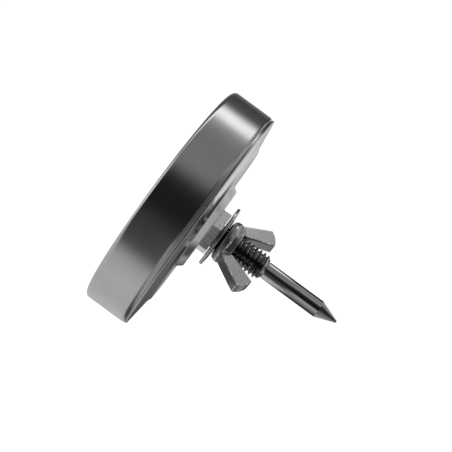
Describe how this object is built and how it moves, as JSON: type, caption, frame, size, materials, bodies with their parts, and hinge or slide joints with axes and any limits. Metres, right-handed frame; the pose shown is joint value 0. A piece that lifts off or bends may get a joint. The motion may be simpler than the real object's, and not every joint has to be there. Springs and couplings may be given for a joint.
{
  "type": "dial thermometer probe",
  "caption": "Panel-mounted bimetal dial thermometer with a shallow steel drum case, a short pointed probe, and a washer and wing nut on its threaded stem.",
  "frame": {"origin": "on the probe's axis, at the rear face of the hex nut, where a panel is clamped", "axes": "+Y along the probe towards its point, with the dial facing -Y; +Z towards 12 o'clock on the dial; +X to the right as the dial is read"},
  "size_m": [0.0846, 0.0733, 0.0846],
  "materials": {
    "stainless_case": "satin drawn stainless steel",
    "stainless_cover": "satin stamped stainless steel",
    "lens_glass": "clear flat glass",
    "black_rubber": "matt black rubber",
    "black_trim": "matt black moulded plastic",
    "dial_enamel": "white enamel with printed scale",
    "pointer_paint": "matt black paint",
    "brass_turned": "turned brass",
    "plated_steel": "zinc-plated steel, grainy",
    "stem_steel": "dark machined steel",
    "polished_steel": "polished stainless steel",
    "bimetal_strip": "rolled bimetal strip",
    "fibre": "red vulcanised fibre",
    "cast_zinc": "tumbled die-cast zinc"
  },
  "bodies": {
    "body": {"case_drum": "stainless_case", "back_cover": "stainless_cover", "cover_gasket": "black_rubber", "lens": "lens_glass", "lens_gasket": "black_rubber", "spacer_ring": "black_trim", "dial_plate": "dial_enamel", "support_ring": "black_trim", "dial_screws": "plated_steel", "stop_pins": "brass_turned", "dial_bracket": "plated_steel", "shaft_bush": "brass_turned", "shaft_guide": "brass_turned", "coil_anchor": "brass_turned", "bimetal_coil": "bimetal_strip", "threaded_stem": "stem_steel", "seal_washer": "fibre", "hex_nut": "plated_steel", "probe_tube": "polished_steel", "probe_tip": "polished_steel"},
    "pointer": {"pointer_shaft": "polished_steel", "coil_collar": "brass_turned", "pointer_hub": "brass_turned", "pointer_blade": "pointer_paint"},
    "clamp_washer": {"washer": "plated_steel"},
    "wing_nut": {"wing_nut": "cast_zinc"}
  },
  "joints": [
    {"name": "pointer_turn", "type": "hinge", "parent": "body", "child": "pointer", "pos_m": [0, -0.018, 0], "axis": [0, 1, 0], "range_deg": [-50, 230], "stiffness_Nm_per_rad": 0.0002, "deforming": ["bimetal_coil"]},
    {"name": "clamp_travel", "type": "slide", "parent": "body", "child": "clamp_washer", "axis": [0, 1, 0], "range_m": [0, 0.01191]},
    {"name": "wing_nut_turn", "type": "hinge", "parent": "clamp_washer", "child": "wing_nut", "pos_m": [0, 0.0046, 0], "axis": [0, 1, 0], "range_deg": [0, 2700]}
  ],
  "couplings": [
    {"joint": "clamp_travel", "follows": "wing_nut_turn", "m_per_rad": 0.00025266}
  ]
}
